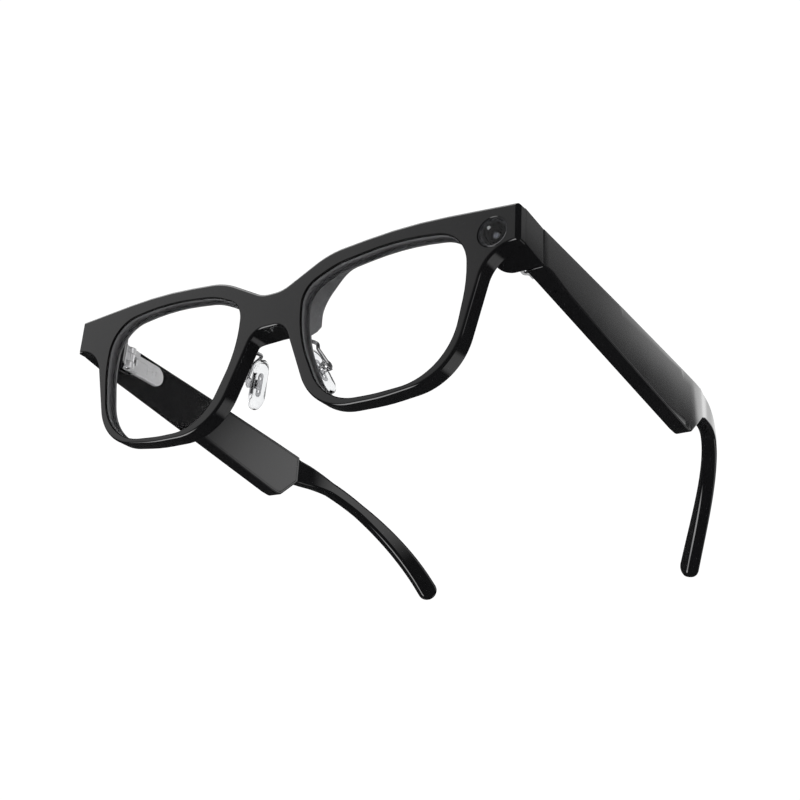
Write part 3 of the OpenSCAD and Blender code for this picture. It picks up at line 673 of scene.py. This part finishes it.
# the cover goes round the hinge leaf, so its front end has a notch
top_slope = (TOP_MID[1] - SEAM_TOP) / (TOP_MID[0] - Y0)
NOTCH_Y = 20.35
edge = grown(HOUSING, -1.06)
COVER = [(edge[0][0], edge[0][1], 0.3), *[(x, y, max(0.3, r)) for x, y, r in edge[1:7]],
         (NOTCH_Y, edge[7][1] + (NOTCH_Y - Y0) * top_slope, 0.1), (NOTCH_Y, 42.05, 0.1), (33.05, 42.05, 3.38),
         (33.05, 35.25, 3.38), (NOTCH_Y, 35.25, 0.1), (NOTCH_Y, 34.75, 0.1), (edge[0][0], 34.75, 0.1)]
PLATE = [(19.6, 35.3, 0.3), (33, 35.3, 3.33), (33, 42, 3.33), (19.6, 42, 0.3)]


def subdivided(ring, extra):
    out = []
    for p, q, n in zip(ring, ring[1:] + ring[:1], extra):
        out += [p.lerp(q, k / (n + 1)) for k in range(n + 1)]
    return out


HOOK_Y, HOOK_R = 108.0, 94.5 + TEMPLE_T / 2


def hook_drop(y):
    """How far inward the outer face has curved, and its angle in plan."""
    if y <= HOOK_Y:
        return 0.0, 0.0
    b = math.asin((y - HOOK_Y) / HOOK_R)
    return -HOOK_R * (1 - math.cos(b)), b


def housing_rings():
    """Edges rounded by 0.5, less at the seam in front and none where the ear tip joins."""
    steps, out = steps_of(HOUSING), []
    base = points(HOUSING, steps)
    extra = [int((q - p).length / 2.5) if max(p.x, q.x) > HOOK_Y and (q - p).length > 3 else 0
             for p, q in zip(base, base[1:] + base[:1])]
    for inner_end in (True, False):
        for k in range(EDGE_STEPS + 1):
            t = math.pi / 2 * (EDGE_STEPS - k if inner_end else k) / EDGE_STEPS
            d = -EDGE_R * (1 - math.cos(t))
            w = EDGE_R * (1 - math.sin(t))
            d = [d, d, d, 0, d, d, d, 0.4 * d]
            ring = subdivided(points(grown(HOUSING, d), steps), extra)
            out.append([(p.x, p.y, -TEMPLE_T + w if inner_end else -w + hook_drop(p.x)[0]) for p in ring])
    return out


INNER = -TEMPLE_T
LEDGE = INNER + 0.95
PORT_Y, PORT_Z, PORT_R = 22.8, 31.5, 0.4

for side, side_name in SIDES:
    place = temple(side)
    body = housing_rings()
    recess = rings(RECESS, [(0, INNER), (0, LEDGE)])
    cavity = rings(CAVITY, [(0, LEDGE), (0, -1.0)])
    shell = joined("temple_shell_" + side_name + "_shaped", [
        solid("outside", [body], place, fill=(2.5, lambda y, z: hook_drop(y)[0]), open_ends=(0,)),
        solid("inner_face", [body[:1], recess[:1]], place, open_ends=(0,)),
        solid("recess", [recess], place, open_ends=(0, 1)),
        solid("ledge", [recess[1:], cavity[:1]], place, open_ends=(0,)),
        solid("cavity", [cavity], place, open_ends=(0,))])
    edited(shell.data, lambda bm: bmesh.ops.remove_doubles(bm, verts=bm.verts, dist=MERGE_PARTS))
    shade(shell)
    # microphone port in the lower edge
    port = turned("port", [(PORT_R, -5), (PORT_R, 5)], place(PORT_Y, PORT_Z, -TEMPLE_T / 2), UP, 24)
    subtract(shell, port)
    add(weighted(shell), "temple_" + side_name, "temple_shell_" + side_name, look=gloss)

    profile = fillet(0.12, -TEMPLE_T, 1, -1, 3) + [(0, -TEMPLE_T + 0.93)]
    cover = solid("inner_cover_" + side_name + "_shaped", [rings(COVER, profile)], place)
    add(weighted(cover), "temple_" + side_name, "inner_cover_" + side_name, look=gloss)

# ---------------------------------------------------------------- ear tips
BEND_Y, BEND_R, BEND = 121.4, 62.0, math.radians(62)
TIP_END_R = 3.6
TIP_ROWS, END_ROWS = 60, 12
ARC_Y = BEND_Y + BEND_R * math.sin(BEND)
ARC_Z = TIP_Z - BEND_R * (1 - math.cos(BEND))
last = (ARC_Y * math.sin(LEAN_ANGLE) + ARC_Z * math.cos(LEAN_ANGLE) - TIP_END_R) / math.sin(BEND - LEAN_ANGLE)
END_Y = ARC_Y + last * math.cos(BEND)


def tip_line(y):
    """Height and slope of the tip's middle line in side view."""
    if y <= BEND_Y:
        return TIP_Z, 0.0
    if y < ARC_Y:
        a = math.asin((y - BEND_Y) / BEND_R)
        return TIP_Z - BEND_R * (1 - math.cos(a)), a
    return ARC_Z - (y - ARC_Y) * math.tan(BEND), BEND


def lookup(y, table):
    for (a, u), (b, v) in zip(table, table[1:]):
        if y <= b:
            return u + (v - u) * max(0.0, (y - a) / (b - a))
    return table[-1][1]


def tip_half(y):
    return lookup(y, [(Y1, TIP_ROOT), (Y1 + 2, 4.9), (Y1 + 5, 4.65), (Y1 + 8, 4.4), (BEND_Y + 14, 2.6),
                      (150, 2.4), (END_Y - 6, TIP_END_R - 0.2), (END_Y, TIP_END_R)])


def tip_thick(y):
    return lookup(y, [(Y1, 2.1), (140, 2.45), (END_Y, 2.5)])


def tip_mesh(side, side_name):
    place = temple(side)
    stations = [(Y1 + 0.04 + (END_Y - Y1) * k / TIP_ROWS, 1.0, 1.0, 0.0) for k in range(TIP_ROWS + 1)]
    # the rounded end: further along the line, with less height and thickness
    for k in range(1, END_ROWS + 1):
        t = math.pi / 2 * k / END_ROWS
        shrink_h, shrink_w = max(0.01, math.cos(t)), max(0.02, math.cos(t) ** 0.6)
        stations.append((END_Y, shrink_h, shrink_w, TIP_END_R * math.sin(t)))
    verts = []
    for y, shrink_h, shrink_w, ahead in stations:
        z, a = tip_line(y)
        x, b = hook_drop(y)
        # direction of the line, in the temple's own axes (x in, y back, z up)
        d = Vector((-math.tan(b), 1, -math.tan(a))).normalized()
        across = Vector((math.cos(b), math.sin(b), 0))
        up = across.cross(d)
        half_h = tip_half(y) * shrink_h
        half_w = tip_thick(y) * shrink_w
        middle = Vector((x, y, z)) + d * ahead - across * tip_thick(y)
        round_r = min(1.3, half_w * 0.98, half_h * 0.98) if y > Y1 + 3 else 0.5 + 0.8 * (y - Y1) / 3
        round_r = min(round_r, half_w * 0.98, half_h * 0.98)
        shape = [(-half_w, -half_h, round_r), (half_w, -half_h, round_r), (half_w, half_h, round_r),
                 (-half_w, half_h, round_r)]
        ring = points(shape, [11] * 4)
        for p in ring:
            q = middle + across * p.x + up * p.y
            verts.append(place(q.y, q.z, q.x))
    return mesh_object("ear_tip_" + side_name + "_shaped", verts, bands(len(stations), len(ring)), 40)


for side, side_name in SIDES:
    tip = tip_mesh(side, side_name)
    add(weighted(tip), "temple_" + side_name, "ear_tip_" + side_name, look=gloss)

# ---------------------------------------------------------------- hinges
HINGE_X, HINGE_Y = 69.5, 16.0
LEAF_Z, MID_Z = (35.2, 42.2), (37.4, 40.0)
KNUCKLE_GAP, BORE_R = 0.08, 0.73
PLATE_IN, PLATE_OUT = -TEMPLE_T - 1.1, -TEMPLE_T + 0.9
FRONT_STRIP = [(67.8, 7.0, 0.1), (70.8, 7.0, 0.1), (70.8, 11.85, 0.1), (70.5, 12.15, 0.1), (70.5, 13.5, 0.35),
               (67.8, 13.5, 0.35)]
MID_KNUCKLE = [(68.2, 12.6, 0), (70.8, 12.6, 0), (70.8, 14.9, 0.3), (71.09, 15.3, 0.3), (71.09, 17.59, 1.58),
               (67.91, 17.59, 1.58), (67.91, 15.3, 0.3), (68.2, 14.9, 0.3)]
END_KNUCKLE = [(67.91, 14.41, 1.58), (71.09, 14.41, 1.58), (71.09, 17.2, 0.3), (70.9, 17.7, 0.3),
               (70.9, 20.1, 0), (69.1, 20.1, 0), (69.1, 17.9, 0.5), (67.91, 17.1, 0.9)]


def upright(side):
    """u, v, w are x, y, z."""
    return lambda u, v, w: at(side * u, v, w)


def prism(name, shape, low, high, r, place, holes=(), step=8):
    """An outline between two depths with rounded edges, and holes with a fine chamfer."""
    loops = [rings(shape, fillet(r, low, 1, -1, 4) + fillet(r, high, 1, 1, 4), step)]
    for hole in holes:
        loops.append(rings(hole, [(0.07, low), (0, low + 0.07), (0, high - 0.07), (0.07, high)], step))
    return solid(name, loops, place)


for side, side_name in SIDES:
    place, up = temple(side), upright(side)
    bore = circle(HINGE_X, HINGE_Y, BORE_R)
    front_part = joined("hinge_front_" + side_name + "_shaped", [
        prism("strip", FRONT_STRIP, *LEAF_Z, 0.25, up),
        prism("knuckle", MID_KNUCKLE, *MID_Z, 0.15, up, [bore])])
    shade(front_part, 30)
    add(weighted(front_part), "front", "hinge_front_" + side_name, look=steel)

    plate = solid("plate", [rings(PLATE, fillet(0.4, PLATE_IN, 1, -1, 6) + [(0, PLATE_OUT)], 5)], place)
    subtract(plate, block((21.0, 37.0, PLATE_IN - 0.5), (25.2, 40.3, PLATE_IN + 0.14), 0.12, place))
    subtract(plate, block((27.3, 37.7, PLATE_IN - 0.5), (27.75, 39.3, PLATE_IN + 0.2), 0.1, place))
    subtract(plate, block((28.8, 38.2, PLATE_IN - 0.5), (29.25, 39.8, PLATE_IN + 0.2), 0.1, place))
    leaf = joined("hinge_leaf_" + side_name + "_shaped", [
        plate,
        prism("knuckle", END_KNUCKLE, LEAF_Z[0], MID_Z[0] - KNUCKLE_GAP, 0.15, up, [bore]),
        prism("knuckle", END_KNUCKLE, MID_Z[1] + KNUCKLE_GAP, LEAF_Z[1], 0.15, up, [bore])])
    shade(leaf, 30)
    add(weighted(leaf), "temple_" + side_name, "hinge_leaf_" + side_name, look=steel)

    pin = turned("hinge_pin_" + side_name + "_shaped", [
        (0.01, LEAF_Z[0] - 0.1), (0.4, LEAF_Z[0] - 0.09), (0.6, LEAF_Z[0] - 0.03), (0.7, LEAF_Z[0] + 0.08),
        (0.7, LEAF_Z[1] - 0.08), (0.6, LEAF_Z[1] + 0.03), (0.4, LEAF_Z[1] + 0.09), (0.01, LEAF_Z[1] + 0.1)],
        at(side * HINGE_X, HINGE_Y, 0), UP, 32)
    add(pin, "front", "hinge_pin_" + side_name, look=wire_metal)

# ---------------------------------------------------------------- nose arms and pads
ARM = [((8.7, 4.5, 24.2), 0), ((9.6, 10.3, 25.2), 1.5), ((11.3, 8.4, 22.3), 1.0), ((14.2, 9.6, 17.9), 0)]
ARM_R = 0.00052
PAD_POS = Vector((10.7, 10.9, 16.9))
PAD_TURN = (Matrix.Rotation(math.radians(-10), 3, "Z") @ Matrix.Rotation(math.radians(-19), 3, "Y")
            @ Matrix.Rotation(math.radians(23), 3, "X"))
PAD_W, PAD_H = 4.1, 7.2
PAD = [(-PAD_W, -PAD_H, PAD_W * 0.96), (PAD_W, -PAD_H, PAD_W * 0.96), (PAD_W * 0.86, PAD_H, PAD_W * 0.8),
       (-PAD_W * 0.86, PAD_H, PAD_W * 0.8)]
CORE = [(-1.1, -3.4, 1.08), (1.1, -3.4, 1.08), (1.1, 3.4, 1.08), (-1.1, 3.4, 1.08)]
CORE_SLOT = [(-0.42, -2.3, 0.4), (0.42, -2.3, 0.4), (0.42, -1.35, 0.4), (-0.42, -1.35, 0.4)]
EAR = [(1.35, -1.1, 0.5), (3.0, -1.35, 0.2), (3.0, 1.35, 0.2), (1.35, 1.1, 0.5)]
BOSS = [(0.26, -1.19, 0.1), (2.58, -1.19, 1.1), (2.58, 1.19, 1.1), (0.26, 1.19, 0.1)]
AXIS_X = 1.9


def bent(path, n=8):
    """A polyline whose corners, given as (point, radius), are rounded."""
    out = []
    for i, (p, r) in enumerate(path):
        b = Vector(p)
        if not r:
            out.append(b)
            continue
        u, v = (Vector(path[i - 1][0]) - b), (Vector(path[i + 1][0]) - b)
        half = u.angle(v) / 2
        t = min(r / math.tan(half), 0.45 * u.length, 0.45 * v.length)
        p0, p1 = b + u.normalized() * t, b + v.normalized() * t
        for k in range(n + 1):
            s = k / n
            out.append((1 - s) ** 2 * p0 + 2 * s * (1 - s) * b + s * s * p1)
    return out


def pad_place(side):
    """u, v, w are the pad's own width, height and thickness."""
    def place(u, v, w):
        q = PAD_POS + PAD_TURN @ Vector((w, u, v))
        return at(side * q.x, q.y, q.z)
    return place


def boss_place(side):
    """u, v, w are the pad's own thickness, height and width."""
    inner = pad_place(side)
    return lambda u, v, w: inner(w, v, u)


for side, side_name in SIDES:
    place, across = pad_place(side), boss_place(side)
    path = [at(side * p.x, p.y, p.z) for p in bent(ARM)]
    arm = tube("nose_arm_" + side_name + "_bent", path, ARM_R)
    add(arm, "front", "nose_arm_" + side_name, look=wire_metal)

    cup_profile = fillet(0.25, 2.75, 1, -1, 3) + fillet(0.3, 3.58, 1, 1, 4)
    cup = solid("cup", [rings(circle(0, 0, 1.42), cup_profile, 8)], place)
    ears = [prism("ear", EAR, low, high, 0.1, across) for low, high in ((-1.42, -0.83), (0.83, 1.42))]
    box = joined("pad_box_" + side_name + "_shaped", [cup] + ears)
    shade(box)
    add(weighted(box), "front", "pad_box_" + side_name, look=wire_metal)

    start = place(0, 0, AXIS_X)
    screw = turned("pad_screw_" + side_name + "_turned", [
        (0.01, -1.82), (0.5, -1.82), (0.68, -1.76), (0.74, -1.66), (0.74, -1.49), (0.4, -1.47), (0.4, 1.42),
        (0.3, 1.48), (0.01, 1.49)], start, place(1, 0, AXIS_X) - start, 32)
    subtract(screw, block((-1, -0.1, -2.2), (AXIS_X + 1.5, 0.1, -1.62), 0.02, across))
    add(weighted(screw), "front", "pad_screw_" + side_name, look=wire_metal)

    core = joined("pad_core_" + side_name + "_shaped", [
        prism("plate", CORE, -0.25, 0.25, 0.12, place,
              [CORE_SLOT, [(x, -y, r) for x, y, r in reversed(CORE_SLOT)]]),
        prism("boss", BOSS, -0.74, 0.74, 0.12, across, [circle(AXIS_X, 0, 0.45)])])
    shade(core)
    add(weighted(core), "pad_" + side_name, "pad_core_" + side_name, look=wire_metal)

    crown = [(-0.25, 0.3), (-0.75, 0.5), (-1.4, 0.64), (-2.1, 0.72), (-2.9, 0.77)]
    profile = [(d, -w) for d, w in reversed(crown)] + [(-0.06, -0.15), (-0.06, 0.15)] + crown
    pad = solid("nose_pad_" + side_name + "_moulded", [rings(PAD, profile, 5)], place)
    shade(pad, 60)
    add(weighted(pad), "pad_" + side_name, "nose_pad_" + side_name, look=silicone)

# ---------------------------------------------------------------- small parts of the temples
GRILLE_Y, GRILLE_L, GRILLE_W = 94.5, 9.0, 1.6
SLOT_L, SLOT_W, SLOT_STEP = 0.44, 0.84, 1.1
BUTTON_Y, BUTTON_L, BUTTON_W = 48.0, 9.0, 2.2
rear_slope = math.atan((TOP_REAR[1] - TOP_MID[1]) / (TOP_REAR[0] - TOP_MID[0]))
CONTACTS = ((74.5, 34), (77.5, 34))
CONTACT = [(0.01, -1.1), (0.9, -1.1), (0.9, -0.12), (0.82, -0.05), (0.7, -0.02), (0.01, -0.01)]


def top_place(side, y, z, slope):
    """u is across the temple, v along its upper edge and w up from it."""
    base, c, s = temple(side), math.cos(slope), math.sin(slope)
    return lambda u, v, w: base(y + v * c - w * s, z + v * s + w * c, -TEMPLE_T / 2 + u)


def rectangle(l, w, r, y=0.0):
    """A rounded rectangle, l along v and w across, with its middle at y."""
    return [(-w / 2, y - l / 2, r), (w / 2, y - l / 2, r), (w / 2, y + l / 2, r), (-w / 2, y + l / 2, r)]


def stadium(l, w):
    return rectangle(l, w, w / 2 - 0.01)


def cutter(shape, low, high, place):
    return solid("cutter", [rings(shape, [(0, low), (0, high)], 8)], place)


for side, side_name in SIDES:
    shell = bpy.data.objects["temple_shell_" + side_name + "_shaped"]
    cover = bpy.data.objects["inner_cover_" + side_name + "_shaped"]
    for o in (shell, cover):
        o.modifiers.clear()
    grille_z = TOP_MID[1] + (GRILLE_Y - TOP_MID[0]) * math.tan(rear_slope)
    on_top = top_place(side, GRILLE_Y, grille_z, rear_slope)
    subtract(shell, cutter(stadium(GRILLE_L + 0.1, GRILLE_W + 0.1), -0.55, 2, on_top))
    grille = prism("speaker_grille_" + side_name + "_shaped", stadium(GRILLE_L, GRILLE_W), -0.5, -0.06, 0.08,
                   on_top, [rectangle(SLOT_L, SLOT_W, 0.2, k * SLOT_STEP) for k in range(-3, 4)])
    add(weighted(grille), "temple_" + side_name, "speaker_grille_" + side_name, look=satin)
    if side < 0:
        at_button = top_place(side, BUTTON_Y, SEAM_TOP + (BUTTON_Y - Y0) * top_slope, math.atan(top_slope))
        subtract(shell, cutter(stadium(BUTTON_L + 0.2, BUTTON_W + 0.2), -4, 3, at_button))
        button = solid("capture_button_shaped", [rings(stadium(BUTTON_L, BUTTON_W), [(0, -1.5)]
                       + fillet(0.42, 0.49, 1, 1, 6), 8)], at_button)
        subtract(button, cutter(stadium(4.4, 0.5), 0.4, 1, at_button))
        add(weighted(button), "button", "capture_button", look=satin)
    else:
        place = temple(side)
        ends = []
        for y, z in CONTACTS:
            face, inward = place(y, z, -TEMPLE_T), place(y, z, -TEMPLE_T - 1) - place(y, z, -TEMPLE_T)
            subtract(cover, turned("hole", [(0.95, -3), (0.95, 1)], face, inward, 48))
            ends.append(turned("contact", CONTACT, face, inward, 48))
        contacts = joined("charging_contacts_turned", ends)
        shade(contacts, 30)
        add(weighted(contacts), "temple_left", "charging_contacts", look=gold)
    for o in (shell, cover):
        weighted(o)

# ---------------------------------------------------------------- camera and light
view = Matrix(((0.84464866, 0.16235374, 0.51010774), (0.53251752, -0.35222159, -0.76965255),
               (0.05471499, 0.9217273, -0.38395971)))
camera = bpy.data.objects.new("camera", bpy.data.cameras.new("camera"))
scene.collection.objects.link(camera)
camera.matrix_world = Matrix.Translation(at(185.186, -212.937, -107.694)) @ (LEAN @ view).to_4x4()
camera.data.sensor_width = 36
camera.data.lens = 51.677
camera.data.clip_start, camera.data.clip_end = 0.01, 20
scene.camera = camera
scene.view_settings.view_transform = "Standard"

# White all round. Glossy surfaces see a dim studio with a few soft lights instead. Each light is
# its brightness and its soft edges, every edge a direction and the two cosines it fades between.
STUDIO = [(0.45, ((-0.80, -0.50, 0.33), 0.80, 1.0)),
          (0.50, ((-0.42, -0.72, 0.54), 0.55, 1.0)),
          (3.6, ((-0.50, -0.25, 0.83), 0.91, 0.97)),
          (7.0, ((-0.52, -0.48, -0.70), 0.90, 0.98)),
          (0.42, ((-0.786, 0.069, 0.614), -0.03, 0.012), ((0.40, 0.80, 0.45), 0.93, 0.97)),
          (1.6, ((-0.786, 0.069, 0.614), -0.01, 0.03), ((0.31, 0.87, 0.39), 0.984, 0.998)),
          (1.1, ((0.02, 0.93, 0.37), 0.955, 0.99)),
          (1.3, ((0.50, 0.81, 0.29), 0.991, 0.9995)),
          (1.6, ((0.90, 0.15, 0.28), 0.90, 0.99)),
          (0.9, ((0.47, 0.78, -0.42), 0.965, 0.99))]
SKY, STUDIO_BASE = 1.05, 0.03
world = bpy.data.worlds.new("studio")
scene.world = world
world.use_nodes = True
sky = world.node_tree
open_sky = sky.nodes["Background"]
open_sky.inputs["Color"].default_value = (1, 1, 1, 1)
open_sky.inputs["Strength"].default_value = SKY


def sky_math(kind, a, b):
    node = sky.nodes.new("ShaderNodeMath")
    node.operation = kind
    for socket, v in zip(node.inputs, (a, b)):
        if isinstance(v, (int, float)):
            socket.default_value = v
        else:
            sky.links.new(v, socket)
    return node.outputs[0]


looking = sky.nodes.new("ShaderNodeTexCoord").outputs["Generated"]
total = STUDIO_BASE
for bright, *edges in STUDIO:
    for direction, low, high in edges:
        dot = sky.nodes.new("ShaderNodeVectorMath")
        dot.operation = "DOT_PRODUCT"
        dot.inputs[1].default_value = (LEAN @ Vector(direction)).normalized()
        sky.links.new(looking, dot.inputs[0])
        soft = sky.nodes.new("ShaderNodeMapRange")
        soft.interpolation_type = "SMOOTHSTEP"
        soft.inputs["From Min"].default_value = low
        soft.inputs["From Max"].default_value = high
        sky.links.new(dot.outputs["Value"], soft.inputs["Value"])
        bright = sky_math("MULTIPLY", soft.outputs[0], bright)
    total = sky_math("ADD", bright, total)
studio = sky.nodes.new("ShaderNodeBackground")
studio.inputs["Color"].default_value = (1, 1, 1, 1)
sky.links.new(total, studio.inputs["Strength"])
ray = sky.nodes.new("ShaderNodeLightPath")
either = sky.nodes.new("ShaderNodeMixShader")
through = sky_math("SUBTRACT", 1.0, ray.outputs["Is Transmission Ray"])
sky.links.new(sky_math("MULTIPLY", ray.outputs["Is Glossy Ray"], through), either.inputs[0])
sky.links.new(open_sky.outputs[0], either.inputs[1])
sky.links.new(studio.outputs[0], either.inputs[2])
out = [n for n in sky.nodes if n.type == "OUTPUT_WORLD"][0]
sky.links.new(either.outputs[0], out.inputs["Surface"])

floor_size = 3.0
floor = mesh_object("floor", [Vector((x * floor_size, y * floor_size, -0.17)) for x, y in
                              ((-1, -1), (1, -1), (1, 1), (-1, 1))], [(0, 1, 2, 3)])
floor_look = textured("floor_pale", (0.93, 0.93, 0.93), (0.96, 0.96, 0.96), (0.7, 0.8), scale=3, strength=0)
paint(floor, floor_look)
floor.visible_glossy = False
